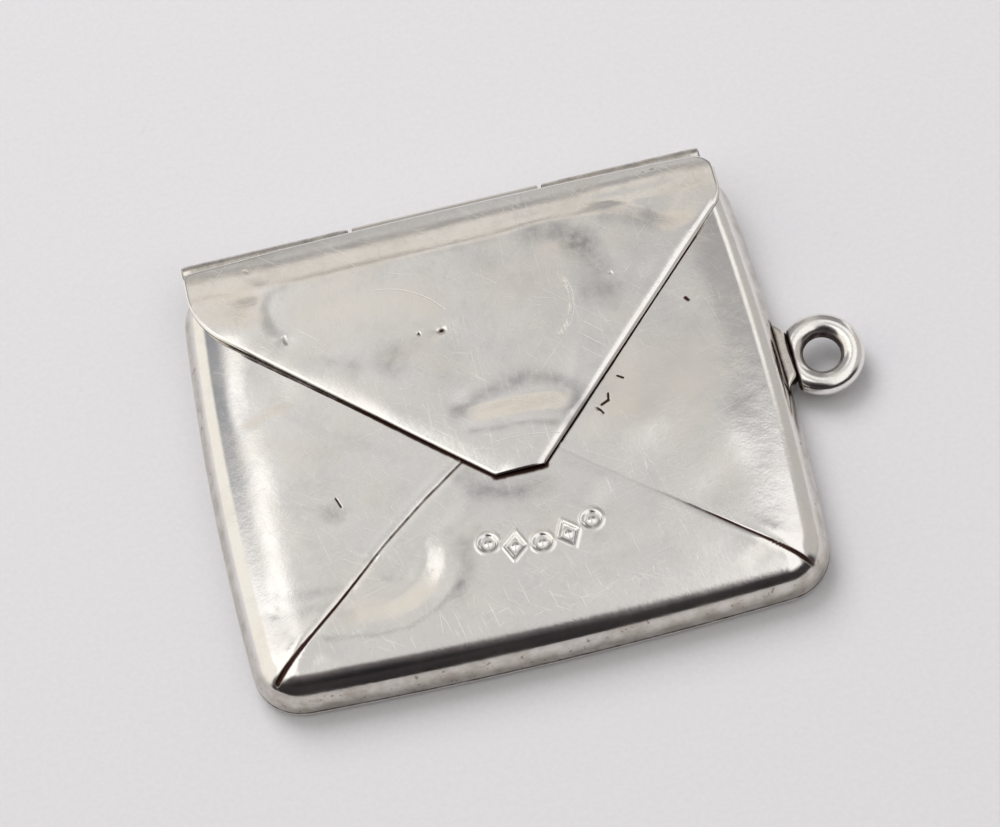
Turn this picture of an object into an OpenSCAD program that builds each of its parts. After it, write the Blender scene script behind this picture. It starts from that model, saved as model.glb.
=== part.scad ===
// Envelope-shaped stamp case in thin silver sheet, about the size of one stamp.
// Millimetres. The case lies on its back, with its hinge edge towards +Y.

/* [Case] */
// Width of the case
case_w = 28; // [26:0.5:34]
// Height of the case, from its bottom edge to its hinge edge
case_h = 23.6; // [22:0.2:28]
// Thickness of the body, without the flap
case_t = 2.8; // [2.7:0.1:4]
// Thickness of the sheet that the front and the flap are made of
sheet = 0.3; // [0.25:0.05:0.35]
// How far the middle of each side bows out past its corners
side_bow = 0.3; // [0.2:0.05:0.45]
// Radius of the corners in plan
corner_r = 2.4; // [2.1:0.1:3]
// Radius of the rolled edge between the front and the sides
roll_r = 1.8; // [1.4:0.05:1.9]
// Thickness of the back plate
back_t = 0.45; // [0.35:0.05:0.6]
// Radius on the outer edge of the back plate
back_r = 0.3; // [0.1:0.05:0.3]

/* [Folds] */
// Distance of each fold seam's outer end from the side of the case
seam_side_in = 1.5; // [1.3:0.05:2]
// Distance of each fold seam's outer end from the bottom edge
seam_end_in = 1.3; // [1.1:0.05:2]
// Length of each seam's outer end, which dips over the rolled corner
seam_dip = 1.1; // [0.6:0.1:1.5]
// Angle of that dip
seam_dip_a = 20; // [10:1:25]
// How far below the middle of the case the two seams aim to meet
seam_aim = 0.25; // [-0.5:0.05:1.5]
// Width of the pressed fold seams
seam_w = 0.24; // [0.15:0.01:0.3]
// Distance from the hinge edge at which the mouth meets the sides
mouth_side_in = 3.3; // [3:0.1:4.4]
// How far the flap laps down over the edge of the mouth
mouth_lap = 1.85; // [1.2:0.05:2.5]
// Height to which the walls stand inside the mouth
mouth_z = 1.9; // [1.7:0.05:2]

/* [Flap] */
// Gap between the front and the closed flap
flap_gap = 0.06; // [0.05:0.01:0.12]
// How far the flap stops short of the case's width at each end
flap_in = 0.85; // [0.6:0.05:1.2]
// Middle of the blunt tip, to the right of the middle of the case
tip_x = 0.55; // [-0.6:0.05:0.6]
// Height of the blunt tip below the middle of the case
tip_drop = 3.05; // [2:0.05:5]
// Width of the blunt tip
tip_w = 2.35; // [1.5:0.05:4]
// Distance of the left shoulder from the hinge edge
left_shoulder_in = 3.4; // [3.2:0.1:4]
// Distance of the right shoulder from the hinge edge
right_shoulder_in = 3; // [2.9:0.1:4]
// Radius of the left shoulder
left_shoulder_r = 3.9; // [2:0.1:4.4]
// Radius of the right shoulder
right_shoulder_r = 1.6; // [1:0.1:4]
// Radius of the flap's corners beside the hinge
flap_corner_r = 1; // [0.3:0.05:1.2]
// How far the flap's hinge edge bows back in the middle
flap_bow = 0.25; // [0.1:0.05:0.3]
// Radius of the curl where the flap bends down to the hinge
curl_r = 3; // [2.5:0.1:3.5]
// Angle of that curl
curl_a = 20; // [15:1:22]
// Width of the bright bevel filed along the flap's two long edges
bevel = 0.12; // [0.05:0.01:0.15]

/* [Hinge] */
// Outer diameter of the knuckles
knuckle_d = 0.9; // [0.85:0.01:0.95]
// Diameter of the hinge pin
pin_d = 0.5; // [0.4:0.01:0.55]
// Running clearance of the pin in the middle knuckle, per side
pin_clearance = 0.03; // [0.02:0.01:0.05]
// Length of the middle knuckle
middle_knuckle_l = 9.2; // [7:0.1:11]
// Gap between neighbouring knuckles
knuckle_gap = 0.3; // [0.2:0.05:0.4]
// Distance of the hinge axis inside the hinge edge
hinge_in = 0.12; // [0.1:0.01:0.15]
// Drop of the knuckles below the inside of the flap
knuckle_drop = 0.23; // [0.2:0.01:0.26]
// Clearance between the middle knuckle and the top wall
knuckle_clearance = 0.12; // [0.1:0.01:0.2]

/* [Ring] */
// Diameter of the hole through the ring
ring_hole_d = 1.82; // [1.5:0.02:2.4]
// Diameter of the ring's wire
ring_wire_d = 1.15; // [0.9:0.05:1.2]
// Depth to which the hole is worn into the round of the wire
ring_wear = 0.02; // [0.01:0.01:0.05]
// Height of the ring above the middle of the case
ring_y = 0.1; // [-3:0.1:3]
// Height of the ring above the back
ring_z = 1.15; // [1.1:0.05:1.25]
// Lean of the ring towards the bottom edge
ring_tilt = 8; // [0:1:16]
// Length of the plate that holds the ring
plate_l = 3.7; // [3.2:0.1:5]
// How far the ends of that plate taper in
plate_taper = 0.4; // [0.2:0.05:0.5]
// Distance of the middle of that plate above the ring's
plate_shift = 0.25; // [-0.3:0.05:0.3]
// Width of that plate
plate_w = 1; // [0.9:0.05:1.2]
// How far that plate stands out of the side
plate_t = 0.45; // [0.4:0.05:0.8]
// Depth of the flat filed on the side to seat it
plate_bed = 0.17; // [0.16:0.01:0.2]
// Depth to which the ring is filed flat to sit on its plate
ring_seat = 0.65; // [0.4:0.05:0.7]

/* [Hidden] */

silver = [0.78, 0.77, 0.74];
worn_silver = [0.66, 0.65, 0.62];
big = 60;

// Centres of the corner rounds
corner_x = case_w / 2 - corner_r - side_bow;
corner_y = case_h / 2 - corner_r - side_bow;

// Centre of the arc that bounds a side at distance half and runs tangent to both its corner
// rounds, which lie along past the middle and across from it
function arc_centre(half, along, across) =
    (pow(half - corner_r, 2) - along * along - across * across) / (2 * (half - corner_r - along));
side_centre = arc_centre(case_w / 2, corner_x, corner_y);
end_centre = arc_centre(case_h / 2, corner_y, corner_x);
// Keeps the corner rounds just proud of the sides, so that they cross them cleanly
corner_proud = 0.01;

flap_w = case_w - 2 * flap_in;
flap_z = case_t + flap_gap;
flap_top = flap_z + sheet;
flap_left = -flap_w / 2;
flap_right = flap_w / 2;
tip_y = -tip_drop;
left_tip = [tip_x - tip_w / 2, tip_y];
right_tip = [tip_x + tip_w / 2, tip_y];
left_shoulder = [flap_left, case_h / 2 - left_shoulder_in];
right_shoulder = [flap_right, case_h / 2 - right_shoulder_in];
mouth_side_y = case_h / 2 - mouth_side_in;

hinge_y = case_h / 2 - hinge_in;
hinge_z = flap_z - knuckle_drop - knuckle_d / 2;
barrel_l = flap_w - 0.4;
barrel_start = -barrel_l / 2;
middle_start = -middle_knuckle_l / 2;
middle_end = middle_start + middle_knuckle_l;
barrel_end = barrel_start + barrel_l;

// The curl ends over the front of the barrel
curl_end_y = hinge_y - 0.09;
curl_start_y = curl_end_y - curl_r * sin(curl_a);
curl_in_r = curl_r - sheet;
curl_centre = [curl_start_y, flap_top - curl_r];

ring_r = (ring_hole_d + ring_wire_d) / 2 - ring_wear;
ring_out = plate_t + ring_r + ring_wire_d / 2 - ring_seat;

// Points along an arc
function arc(centre, r, from, to, steps = 12) =
    [for (i = [0:steps]) let (a = from + (to - from) * i / steps) centre + r * [cos(a), sin(a)]];

// Points of a corner at p rounded with radius r, where the outline comes from a and goes to b
function rounded(a, p, b, r) =
    let (
        u = (a - p) / norm(a - p),
        v = (b - p) / norm(b - p),
        half = acos(u * v) / 2,
        centre = p + (u + v) / norm(u + v) * r / sin(half),
        start = p + u * r / tan(half) - centre,
        end = p + v * r / tan(half) - centre,
        from = atan2(start.y, start.x),
        turn = atan2(end.y, end.x) - from
    )
    arc(centre, r, from, from + (turn > 180 ? turn - 360 : turn < -180 ? turn + 360 : turn));

// Section through a slab's edge: its outer face at radius r, rounded below and above
module edge_section(r, depth, bottom, top, low_r, high_r) {
    difference() {
        translate([r - depth, bottom]) square([depth, top - bottom]);
        if (high_r > 0)
            translate([r - high_r, top - high_r]) difference() {
                square(high_r + 0.1);
                circle(high_r, $fn = 64);
            }
        if (low_r > 0)
            translate([r - low_r, bottom + low_r]) mirror([0, 1]) difference() {
                square(low_r + 0.1);
                circle(low_r, $fn = 64);
            }
    }
}

// The part of a slab between two opposite bowed sides and across from the middle
module band(half, centre, across, inset, bottom, top, low_r, high_r) {
    fan = atan2(across, -half - centre) + 1;
    intersection() {
        intersection_for(turn = [0, 180]) rotate([0, 0, turn])
            translate([centre, 0, 0])
                rotate_extrude(angle = 2 * fan, start = -fan, $fn = 720)
                    edge_section(half - centre - inset, 2 * half + 1, bottom, top, low_r, high_r);
        translate([-big / 2, -across, bottom - 1]) cube([big, 2 * across, top - bottom + 2]);
    }
}

// Pillow-shaped slab with bowed sides, set in from the outside of the case
module pillow(inset, bottom, top, low_r, high_r) {
    band(case_w / 2, side_centre, corner_y, inset, bottom, top, low_r, high_r);
    rotate([0, 0, 90])
        band(case_h / 2, end_centre, corner_x, inset, bottom, top, low_r, high_r);
    corner = corner_r - inset + corner_proud;
    for (x = [-corner_x, corner_x], y = [-corner_y, corner_y])
        translate([x, y, 0]) rotate_extrude($fn = 96)
            edge_section(corner, corner, bottom, top, low_r, high_r);
}

// Cylinder along the hinge axis
module along_hinge(start, end, d) {
    translate([start, hinge_y, hinge_z]) rotate([0, 90, 0])
        cylinder(d = d, h = end - start, $fn = 48);
}

// How far across a mouth edge lies at height y: it is a flap edge lifted by the lap
function mouth_x(tip, shoulder, y) =
    tip.x + (y - tip.y - mouth_lap) * (shoulder.x - tip.x) / (shoulder.y - tip.y);

// Opening under the flap, down to the top of the low walls
module mouth() {
    translate([0, 0, mouth_z]) linear_extrude(case_t)
        polygon([
            left_tip + [0, mouth_lap],
            right_tip + [0, mouth_lap],
            [mouth_x(right_tip, right_shoulder, mouth_side_y), mouth_side_y],
            [big / 2, mouth_side_y],
            [big / 2, big / 2],
            [-big / 2, big / 2],
            [-big / 2, mouth_side_y],
            [mouth_x(left_tip, left_shoulder, mouth_side_y), mouth_side_y]
        ]);
}

// V-shaped groove from start along a heading, dipping below the level
module groove(start, heading, dip, l) {
    cut = seam_w / sqrt(2);
    translate([start.x, start.y, case_t]) rotate([0, dip, heading]) rotate([45, 0, 0])
        translate([0, -cut / 2, -cut / 2]) cube([l, cut, cut]);
}

// Seam pressed from a bottom corner towards the middle, as if two paper folds met there
module seam(side) {
    corner = [side * (case_w / 2 - seam_side_in), -case_h / 2 + seam_end_in];
    run = [0, -seam_aim] - corner;
    heading = atan2(run.y, run.x);
    bend = corner + seam_dip * run / norm(run);
    groove(bend, heading, 0, norm(run) - seam_dip - tip_w / 2);
    groove(bend, heading + 180, seam_dip_a, seam_dip / cos(seam_dip_a));
}

// Frame of the ring: the origin on the side of the case and X pointing out of it
module at_ring() {
    translate([case_w / 2, ring_y, ring_z]) children();
}

// Slab as wide as the ring's plate, from its bed in the side to where its tapered ends stop
module plate_slab(proud, taper) {
    half = plate_l / 2;
    at_ring() translate([0, plate_shift, -plate_w / 2]) linear_extrude(plate_w)
        polygon([
            [-plate_bed, -half],
            [0, -half],
            [proud, taper - half],
            [proud, half - taper],
            [0, half],
            [-plate_bed, half]
        ]);
}

module front_shell() {
    color(silver) difference() {
        pillow(0, back_t, case_t, 0, roll_r);
        pillow(sheet, back_t - 1, case_t - sheet, 0, roll_r - sheet);
        mouth();
        for (side = [-1, 1]) seam(side);
        along_hinge(-big / 2, big / 2, knuckle_d);
        along_hinge(middle_start - knuckle_gap / 2, middle_end + knuckle_gap / 2,
            knuckle_d + 2 * knuckle_clearance);
        plate_slab(1, 0);
    }
}

module back_plate() {
    color(silver) pillow(0, 0, back_t, back_r, 0);
}

module knuckle(start, end) {
    difference() {
        along_hinge(start, end, knuckle_d);
        along_hinge(start - 1, end + 1, pin_d);
    }
}

module left_knuckle() {
    color(worn_silver) knuckle(barrel_start, middle_start - knuckle_gap);
}

module right_knuckle() {
    color(worn_silver) knuckle(middle_end + knuckle_gap, barrel_end);
}

module hinge_pin() {
    color(worn_silver) along_hinge(barrel_start, barrel_end, pin_d);
}

// Outline of the flap before its hinge edge is cut to a bow
module flap_outline() {
    right_end = [flap_right, curl_end_y - flap_bow];
    left_end = [flap_left, curl_end_y - flap_bow];
    over = [0, 2 * flap_bow];
    polygon(concat(
        [left_tip, right_tip],
        rounded(right_tip, right_shoulder, right_end, right_shoulder_r),
        rounded(right_shoulder, right_end, left_end, flap_corner_r),
        [right_end + over - [flap_corner_r, 0], left_end + over + [flap_corner_r, 0]],
        rounded(right_end, left_end, left_shoulder, flap_corner_r),
        rounded(left_end, left_shoulder, left_tip, left_shoulder_r)
    ));
}

// Disc whose far side is the bowed line on which the flap's hinge edge is cut
module flap_edge_cut() {
    half = flap_w / 2;
    bow_r = (half * half + flap_bow * flap_bow) / (2 * flap_bow);
    translate([0, curl_end_y - bow_r]) circle(bow_r, $fn = 720);
}

// Section of the flap's sheet from its tip to the curled edge beside the hinge
module flap_section() {
    translate([tip_y - 1, flap_z]) square([curl_start_y - tip_y + 1, sheet]);
    translate(curl_centre) intersection() {
        difference() {
            circle(curl_r, $fn = 180);
            circle(curl_in_r, $fn = 180);
        }
        polygon([[0, 0], [0, 2 * curl_r], 2 * curl_r * [sin(curl_a), cos(curl_a)]]);
    }
}

// Wedge that files a bevel along the straight edge from a to b
module edge_bevel(a, b) {
    run = b - a;
    translate([a.x, a.y, flap_top]) rotate([0, 0, atan2(run.y, run.x)])
        rotate([45, 0, 0]) translate([-1, -bevel / sqrt(2), -bevel / sqrt(2)])
            cube([norm(run) + 1, bevel * sqrt(2), bevel * sqrt(2)]);
}

// Spreads a section drawn in the YZ plane across the case
module across(start, end) {
    translate([start, 0, 0]) rotate([90, 0, 90]) linear_extrude(end - start) children();
}

module lid_flap() {
    color(silver) difference() {
        intersection() {
            across(-big / 2, big / 2) flap_section();
            linear_extrude(big) intersection() {
                flap_outline();
                flap_edge_cut();
            }
        }
        edge_bevel(left_tip, left_shoulder);
        edge_bevel(right_tip, right_shoulder);
    }
}

// Tube of the middle knuckle with the tapered leaf that holds it under the flap
module lid_knuckle() {
    leaf_start = curl_start_y - 0.5;
    color(worn_silver) difference() {
        union() {
            along_hinge(middle_start, middle_end, knuckle_d);
            across(middle_start, middle_end) intersection() {
                polygon([
                    [leaf_start, flap_z],
                    [leaf_start, flap_z - sheet],
                    [hinge_y - 0.45 * knuckle_d, hinge_z + 0.1 * knuckle_d],
                    [hinge_y, hinge_z],
                    [hinge_y, flap_z]
                ]);
                union() {
                    square([curl_start_y, flap_z]);
                    translate(curl_centre) circle(curl_in_r, $fn = 180);
                }
            }
        }
        along_hinge(middle_start - 1, middle_end + 1, pin_d + 2 * pin_clearance);
    }
}

module ring_plate() {
    color(worn_silver) plate_slab(plate_t, plate_taper);
}

module suspension_ring() {
    color(silver) at_ring() rotate([ring_tilt, 0, 0]) difference() {
        translate([ring_out, 0, 0]) rotate_extrude($fn = 64)
            translate([ring_r, 0]) circle(d = ring_wire_d, $fn = 32);
        translate([ring_out, 0, -big / 2]) cylinder(d = ring_hole_d, h = big, $fn = 64);
        translate([plate_t - big, -big / 2, -big / 2]) cube(big);
    }
}

front_shell();
back_plate();
left_knuckle();
right_knuckle();
hinge_pin();
lid_flap();
lid_knuckle();
ring_plate();
suspension_ring();
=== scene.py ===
import bpy
import math
import numpy as np
from mathutils import Matrix, Vector
from mathutils.geometry import delaunay_2d_cdt
from mathutils.kdtree import KDTree


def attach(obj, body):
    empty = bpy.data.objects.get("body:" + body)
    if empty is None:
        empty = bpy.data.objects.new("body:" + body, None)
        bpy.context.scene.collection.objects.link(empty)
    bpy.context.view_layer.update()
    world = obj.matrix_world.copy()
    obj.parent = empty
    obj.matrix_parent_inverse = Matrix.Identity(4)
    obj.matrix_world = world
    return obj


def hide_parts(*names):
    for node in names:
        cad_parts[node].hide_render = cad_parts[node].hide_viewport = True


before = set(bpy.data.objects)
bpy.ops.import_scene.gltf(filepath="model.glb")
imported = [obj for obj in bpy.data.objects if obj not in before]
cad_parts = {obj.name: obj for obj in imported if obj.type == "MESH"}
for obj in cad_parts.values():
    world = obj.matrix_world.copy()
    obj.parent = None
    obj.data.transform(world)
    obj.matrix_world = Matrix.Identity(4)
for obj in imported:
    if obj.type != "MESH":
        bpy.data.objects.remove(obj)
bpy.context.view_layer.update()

MM = 0.001
scene = bpy.context.scene

# Sizes in millimetres, as in the part's source
CASE_W, CASE_H, CASE_T = 28.0, 23.6, 2.8
SHEET, BACK_T = 0.3, 0.45
CORNER_R, SIDE_BOW = 2.4, 0.3
CORNER_X = CASE_W / 2 - CORNER_R - SIDE_BOW
CORNER_Y = CASE_H / 2 - CORNER_R - SIDE_BOW
MOUTH_X, MOUTH_Y, MOUTH_LAP, MOUTH_Z = 13.9, 8.75, 1.85, 1.9
SEAT_MIDDLE_Z, SEAT_OUTER_Z, SEATS_HALF = 1.61, 1.75, 12.95
FLAP_TOP, FLAP_HALF = 3.16, 13.15
TIP_L, TIP_R = (-0.625, -3.05), (1.725, -3.05)
SHOULDER_L, SHOULDER_R = (-FLAP_HALF, 8.4), (FLAP_HALF, 8.8)
FLAP_END_Y, FLAP_BOW = 11.59, 0.25
HINGE_Y, HINGE_Z = 11.68, 2.18
KNUCKLE_R, PIN_R, MIDDLE_BORE = 0.45, 0.25, 0.28
BARREL_L, BARREL_R = -13.18, 12.72
MIDDLE_HALF, KNUCKLE_GAP = 4.64, 0.21
RING_X, RING_Y, RING_Z, RING_TILT = 15.84, 0.1, 1.15, 8.0
RING_R, WIRE_R, HOLE_R = 1.465, 0.575, 0.91
PLATE_X, PLATE_Y0, PLATE_Y1, PLATE_OUT = 13.83, -1.5, 2.2, 14.45


def smooth(x):
    x = np.clip(x, 0, 1)
    return x * x * (3 - 2 * x)


def rise(x, start, length):
    """Smooth step from 0 to 1, or back down where the length is negative."""
    return smooth((x - start) / length)


def bell(d, width, power=2):
    return np.exp(-(np.abs(d) / width) ** power)


def polar(a, r=1, x=0, y=0):
    return x + r * math.cos(a), y + r * math.sin(a)


def arc_centre(half, along, across):
    return ((half - CORNER_R) ** 2 - along ** 2 - across ** 2) / (2 * (half - CORNER_R - along))


# Outline of the case in plan: bowed sides and ends with round corners
SIDE_C = -arc_centre(CASE_W / 2, CORNER_X, CORNER_Y)
SIDE_R = CASE_W / 2 + SIDE_C
END_C = -arc_centre(CASE_H / 2, CORNER_Y, CORNER_X)
END_R = CASE_H / 2 + END_C


def outline_arcs():
    """Centre, radius and two angles of each arc, anticlockwise from the middle of the left side."""
    side_a = math.degrees(math.atan2(CORNER_Y, CORNER_X + SIDE_C))
    end_a = math.degrees(math.atan2(CORNER_X, CORNER_Y + END_C))
    centres = [(SIDE_C, 0), (-CORNER_X, -CORNER_Y), (0, END_C), (CORNER_X, -CORNER_Y),
               (-SIDE_C, 0), (CORNER_X, CORNER_Y), (0, -END_C), (-CORNER_X, CORNER_Y), (SIDE_C, 0)]
    radii = [SIDE_R, CORNER_R, END_R, CORNER_R] * 2 + [SIDE_R]
    turns = [180, 180 + side_a, 270 - end_a, 270 + end_a, 360 - side_a,
             360 + side_a, 450 - end_a, 450 + end_a, 540 - side_a, 540]
    return list(zip(centres, radii, turns[:-1], turns[1:]))


def outline_columns(step, corner_step):
    """Points on the outline with their outward directions, closer at the corners and near them."""
    points, outs = [], []
    arcs = outline_arcs()
    for k, (centre, r, a0, a1) in enumerate(arcs):
        length = math.radians(a1 - a0) * r
        fine = np.linspace(0, length, 400)
        gap = corner_step
        if r > CORNER_R:
            near = np.minimum(fine if k > 0 else 99, length - fine if k < len(arcs) - 1 else 99)
            gap = corner_step + (step - corner_step) * rise(near, 1.6, 1.5)
            gap = (gap[1:] + gap[:-1]) / 2
        count = np.append(0, np.cumsum(np.diff(fine) / gap))
        n = max(2, round(count[-1]))
        for run in np.interp(np.arange(n) / n * count[-1], count, fine):
            a = math.radians(a0 + (a1 - a0) * run / length)
            points.append(polar(a, r, *centre))
            outs.append(polar(a))
    return np.array(points), np.array(outs)


def inset_of(x, y):
    """Distance of a point inside the outline."""
    d = np.minimum.reduce([SIDE_R - np.hypot(x - SIDE_C, y), SIDE_R - np.hypot(x + SIDE_C, y),
                           END_R - np.hypot(x, y - END_C), END_R - np.hypot(x, y + END_C)])
    across, along = np.abs(x) - CORNER_X, np.abs(y) - CORNER_Y
    return np.where((across > 0) & (along > 0), CORNER_R - np.hypot(across, along), d)


# Rolled edge: a round that dies away softly into the flat of the front,
# as rows of inset, slope and height above the wall
ROLL_R, TAIL_A, ROUND_ROWS = 1.75, math.radians(15), 79
_round, _tail = np.radians(np.linspace(90, 15, ROUND_ROWS)), np.arange(0.02, 5.0, 0.02)
ROLL_D = ROLL_R * (1 - np.sin(_round))
ROLL_D = np.append(ROLL_D, ROLL_D[-1] + _tail)
ROLL_T = np.append(_round, TAIL_A * bell(_tail, 1, 1.3))
_rise = np.tan((ROLL_T[1:] + ROLL_T[:-1]) / 2) * np.diff(ROLL_D)
ROUND_TOP = ROLL_R * math.cos(TAIL_A)
ROLL_H = np.append(ROLL_R * np.cos(_round), ROUND_TOP + np.cumsum(_rise[ROUND_ROWS - 1:]))
WALL_Z = CASE_T - ROLL_H[-1]


def roll_height(d):
    return WALL_Z + np.interp(d, ROLL_D, ROLL_H)


def roll_inset(z):
    return np.interp(z - WALL_Z, ROLL_H, ROLL_D)


def unevenness(seed, count, low, high):
    """Smooth unevenness of hand-worked sheet: the mean of waves with lengths from low to high."""
    rng = np.random.default_rng(seed)
    waves = []
    for _ in range(count):
        a = rng.uniform(0, math.pi)
        k = 2 * math.pi / rng.uniform(low, high)
        waves.append((k * math.cos(a), k * math.sin(a), rng.uniform(0, 2 * math.pi), 1 / k))
    return lambda x, y: sum(size * np.sin(kx * x + ky * y + p) for kx, ky, p, size in waves) / count


def turned_to(x, y, cx, cy, turn):
    """Place along and across a direction in degrees, from a centre."""
    c, s = math.cos(math.radians(turn)), math.sin(math.radians(turn))
    return (x - cx) * c + (y - cy) * s, -(x - cx) * s + (y - cy) * c


def dents(x, y, table):
    """Soft dents: x, y, half length, half width, turn in degrees, height."""
    total = 0
    for cx, cy, a, b, turn, h in table:
        u, v = turned_to(x, y, cx, cy, turn)
        total = total + h * np.exp(-(u / a) ** 2 - (v / b) ** 2)
    return total


def nearest(x, y, points):
    """Signed distance to the left of a polyline, the run along it, and its length."""
    best, side, along, start = np.full_like(x, 1e9), 0 * x, 0 * x, 0.0
    for (ax, ay), (bx, by) in zip(points[:-1], points[1:]):
        run = max(math.hypot(bx - ax, by - ay), 1e-9)
        ux, uy = (bx - ax) / run, (by - ay) / run
        t = np.clip((x - ax) * ux + (y - ay) * uy, 0, run)
        dist = np.hypot(x - ax - t * ux, y - ay - t * uy)
        near = dist < best
        best = np.where(near, dist, best)
        side = np.where(near, np.sign(ux * (y - ay) - uy * (x - ax)), side)
        along = np.where(near, start + t, along)
        start += run
    return np.copysign(best, side), along, start


def pairs(numbers):
    return list(zip(numbers[::2], numbers[1::2]))


def ramp(t):
    """0 to 1 with an even slope and rounded ends."""
    t, e = np.clip(t, 0, 1), 0.2
    high = np.where(t > 1 - e, 1 - e - (1 - t) ** 2 / (2 * e), t - e / 2)
    return np.where(t < e, t * t / (2 * e), high) / (1 - e)


def folds(x, y, table):
    """Steps along lines: the ground on a line's left goes up or down, then levels out again."""
    total = 0
    for h, width, reach, ends, *points in table:
        d, along, length = nearest(x, y, pairs(points))
        side = ramp(d / width) * np.exp(-np.maximum(d - width, 0) / reach)
        total = total + h * side * smooth(along / ends) * smooth((length - along) / ends)
    return total


def soft_patches(x, y, table):
    """Soft patches round lines."""
    clear = 1
    for width, strength, *points in table:
        clear = clear * (1 - strength * bell(nearest(x, y, pairs(points))[0], width))
    return 1 - clear


def nick_bell(x, y, nick, spread=1.0):
    return bell(nearest(x, y, pairs(nick[:4]))[0], spread * nick[4])


def nicks(x, y, table):
    """Short cuts: both ends, width and depth."""
    return -sum(nick[5] * nick_bell(x, y, nick) for nick in table)


SEAM_L = [(-12.75, -10.62), (-12, -9.98), (-8.99, -7.46), (-6.39, -5.14), (-4.2, -3.42), (-2.1, -1.95),
          (-0.9, -1.15)]
SEAM_R = [(12.78, -10.86), (12, -10.22), (9.73, -8.34), (7.39, -6.36), (5, -4.37), (2.73, -2.44),
          (1.3, -1.25)]

FRONT_DENTS = [
    (-4.6, -7.6, 1, 0.8, 20, -0.04), (-4.4, -5.6, 1.1, 0.5, 20, 0.03), (-7.4, -7.4, 1.2, 0.5, 12, 0.012),
    (-10.3, -6.95, 1.7, 0.28, -3, -0.02), (-8.3, -3.2, 0.55, 0.4, 0, -0.03), (-9.6, -0.6, 2.2, 1.4, -35, 0.03),
    (-10.6, 4.6, 1.4, 1.8, -30, -0.04), (-7.2, 0.4, 1.8, 0.8, -35, -0.015), (-11.9, -6.2, 0.22, 0.5, 0, -0.02),
    (-12.1, -7.2, 0.16, 0.3, 20, -0.02), (-9, -9.2, 1.6, 0.3, 5, -0.014), (5.9, -2, 2.2, 1.4, 20, 0.06),
    (9.9, 2.6, 1.3, 2.2, -10, -0.035), (6.2, 1.3, 1.2, 0.7, 45, -0.02), (10.4, -3.2, 1.1, 2, 0, 0.03),
    (9.4, -6, 1.6, 0.9, 40, -0.02), (4.3, -5.6, 1.8, 0.8, 40, -0.025), (-2.6, -4.6, 0.9, 0.5, 40, 0.015),
    (0.7, -6.2, 3.2, 1.7, 4, 0.02), (-1.2, -9, 3, 0.6, 0, 0.012), (7.6, -9.2, 2.6, 0.7, -5, 0.018),
    (10.7, -9.4, 1, 0.8, -30, 0.03), (-11.2, -9, 0.9, 1, 0, 0.04), (-0.4, -4, 1.6, 0.5, -8, -0.02),
    (3.4, -8.2, 2.2, 0.5, 5, -0.014),
]
# Height, width, reach and length of the ends, then the points of the line
FRONT_FOLDS = [
    (-0.085, 1.2, 1.6, 2.2, -10.4, -8.6, -8.6, -9, -6.8, -9.1, -5.6, -8.8, -4.6, -8.1, -3.8, -7.1, -3.5, -6,
     -3.6, -5, -4, -4.2), (-0.03, 0.8, 2, 1.4, -12, 1.8, -10.2, 2.6, -8.6, 2.4),
    (-0.06, 0.9, 1.5, 1, 11.9, -8.9, 10.4, -9.1, 8.9, -9.9),
    (-0.05, 0.8, 1.5, 0.8, -9.2, -10.4, -10, -9.8, -10.9, -9.1),
]
# Grey patches of haze and painted dark reflection, then warm patches of painted reflection: width and strength,
# then the points of their line
FRONT_HAZE_AND_PAINTED_REFLECTIONS = [
    (0.75, 0.45, -2.2, -2.6, -1.4, -3.4, 0.2, -3.9, 1.4, -4), (0.3, 0.3, -2, -3.6, 0.4, -4.2),
    (0.5, 0.52, -8.5, -2.9, -8.1, -3.2), (0.3, 0.35, -11.6, -6.6, -8.8, -6.8),
    (0.4, 0.32, -11.5, -7.5, -9.4, -7.5), (0.2, 0.2, -10.8, -2, -9, -2.6),
    (0.22, 0.5, -9.9, -9.05, -7.6, -9.4, -6, -9.4, -4.5, -8.8, -3.4, -7.9),
    (0.6, 0.42, -3.6, -8.4, -2.9, -7.2, -2.75, -6), (0.25, 0.4, -6.7, -6.8, -6.4, -6.9),
    (0.4, 0.12, 11.7, 6.4, 11.8, 3.4), (0.22, 0.25, 7.6, -2.4, 10.4, -1.2, 12.8, -0.1),
    (0.25, 0.3, 10.6, -2.4, 12.6, -1.6), (0.16, 0.25, 10, -1.9, 12.4, -0.9), (0.18, 0.25, 9.3, -3.2, 12, -1.9),
    (0.14, 0.22, 8.4, -4, 12, -3), (0.3, 0.18, 9.6, -5, 11.8, -3.8), (0.3, 0.25, 2.6, -3, 5, -4.7),
    (0.6, 0.14, 3, -8.6, 7.6, -9.2), (0.7, 0.2, -11, 5.6, -9.6, 3.6), (0.5, 0.18, -9.6, 2.4, -5, -0.8),
    (0.3, 0.25, -2, -5.4, -1.9, -6.2), (0.5, 0.15, 2.8, -5.3, 3.4, -7.4),
]
FRONT_PAINTED_WARM_REFLECTIONS = [
    (2, 0.6, 6.6, 1.4, 9, 1, 8.4, -2.6), (0.9, 0.8, -8.4, -8.2, -6.2, -8.3, -4.8, -7.6),
    (1, 0.7, 4.4, -1.6, 6.2, -1), (0.8, 0.3, -10.4, 1.6, -9.6, 0.6), (0.4, 0.4, 10.6, 5.6, 11.4, 7),
    (0.6, 0.4, -4.6, -4.6, -3.2, -3.2),
]
FRONT_NICKS = [
    (-8.15, -2.25, -7.98, -2.75, 0.045, 0.014), (-12.05, -5.5, -12, -5.8, 0.04, 0.02),
    (5, -0.66, 5.35, -0.5, 0.07, 0.014), (5.35, -0.5, 5.42, -0.15, 0.05, 0.012),
    (6.05, 0.66, 6.3, 0.48, 0.05, 0.012), (4.7, -0.7, 4.92, -0.98, 0.05, 0.012),
    (10.15, 3.9, 10.25, 3.75, 0.08, 0.006), (4.95, -1.05, 5, -1.15, 0.05, 0.008),
]

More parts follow.
